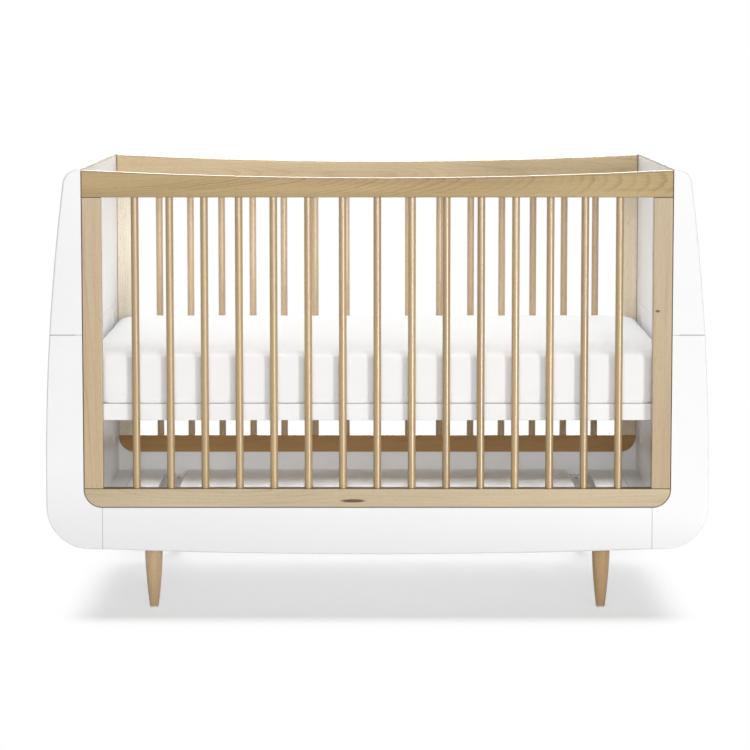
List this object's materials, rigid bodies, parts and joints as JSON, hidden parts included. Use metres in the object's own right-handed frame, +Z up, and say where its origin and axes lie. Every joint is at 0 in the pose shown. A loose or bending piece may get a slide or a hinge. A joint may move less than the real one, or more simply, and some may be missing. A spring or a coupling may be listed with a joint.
{
  "type": "baby crib",
  "caption": "Baby crib with round-bar side frames of natural wood between hollow white ends, on tapered turned legs; its slatted mattress base adjusts in height and the mattress lifts out.",
  "frame": {"origin": "on the floor, under the middle of the crib's box", "axes": "+X along the crib's length, +Y from the front side frame to the rear one, +Z up"},
  "size_m": [1.386, 0.746, 0.9395],
  "materials": {
    "natural_beech": "clear matt lacquer on beech, with fine flecks and flame grain",
    "turned_beech": "clear satin lacquer on turned beech",
    "white_lacquer": "smooth satin white lacquer on board",
    "slat_ply": "clear matt lacquer on laminated slats",
    "mattress_cover": "soft white cotton jersey cover",
    "nylon": "moulded nylon",
    "zinc_steel": "bright zinc plating",
    "white_steel": "white powder coat",
    "dowel_wood": "plain beech dowel"
  },
  "bodies": {
    "crib_frame": {"apron_dowels": "dowel_wood", "bottom_panel": "white_lacquer", "end_floor_left": "white_lacquer", "end_floor_right": "white_lacquer", "frame_bolts": "zinc_steel", "frame_inserts": "zinc_steel", "front_apron": "white_lacquer", "front_bars": "natural_beech", "front_bottom_rail": "natural_beech", "front_post_left": "natural_beech", "front_post_right": "natural_beech", "front_top_rail": "natural_beech", "height_strips": "white_steel", "leg_bearer_left": "white_lacquer", "leg_bearer_right": "white_lacquer", "leg_front_left": "turned_beech", "leg_front_right": "turned_beech", "leg_glides": "nylon", "leg_hanger_bolts": "zinc_steel", "leg_rear_left": "turned_beech", "leg_rear_right": "turned_beech", "leg_tee_nuts": "zinc_steel", "lower_end_cap_left": "white_lacquer", "lower_end_cap_right": "white_lacquer", "lower_end_front_wing_left": "white_lacquer", "lower_end_front_wing_right": "white_lacquer", "lower_end_rear_wing_left": "white_lacquer", "lower_end_rear_wing_right": "white_lacquer", "lower_end_skin_left": "white_lacquer", "lower_end_skin_right": "white_lacquer", "lower_end_wall_left": "white_lacquer", "lower_end_wall_right": "white_lacquer", "rear_apron": "white_lacquer", "rear_bars": "natural_beech", "rear_bottom_rail": "natural_beech", "rear_post_left": "natural_beech", "rear_post_right": "natural_beech", "rear_top_rail": "natural_beech", "split_dowels": "dowel_wood", "upper_end_front_wing_left": "white_lacquer", "upper_end_front_wing_right": "white_lacquer", "upper_end_rear_wing_left": "white_lacquer", "upper_end_rear_wing_right": "white_lacquer", "upper_end_sill_left": "white_lacquer", "upper_end_sill_right": "white_lacquer", "upper_end_skin_left": "white_lacquer", "upper_end_skin_right": "white_lacquer", "upper_end_wall_left": "white_lacquer", "upper_end_wall_right": "white_lacquer"},
    "mattress_base": {"base_front_rail": "white_lacquer", "base_rear_rail": "white_lacquer", "base_end_rail_left": "white_lacquer", "base_end_rail_right": "white_lacquer", "base_slats": "slat_ply", "base_spine": "slat_ply", "height_bolts": "zinc_steel", "height_spacers": "nylon", "clamp_nuts": "zinc_steel"},
    "mattress": {"mattress": "mattress_cover"}
  },
  "joints": [
    {"name": "base_height", "type": "slide", "parent": "crib_frame", "child": "mattress_base", "axis": [0, 0, 1], "range_m": [-0.14, 0.14]},
    {"name": "mattress_lift", "type": "slide", "parent": "mattress_base", "child": "mattress", "axis": [0, 0, 1], "range_m": [0, 0.5]}
  ]
}
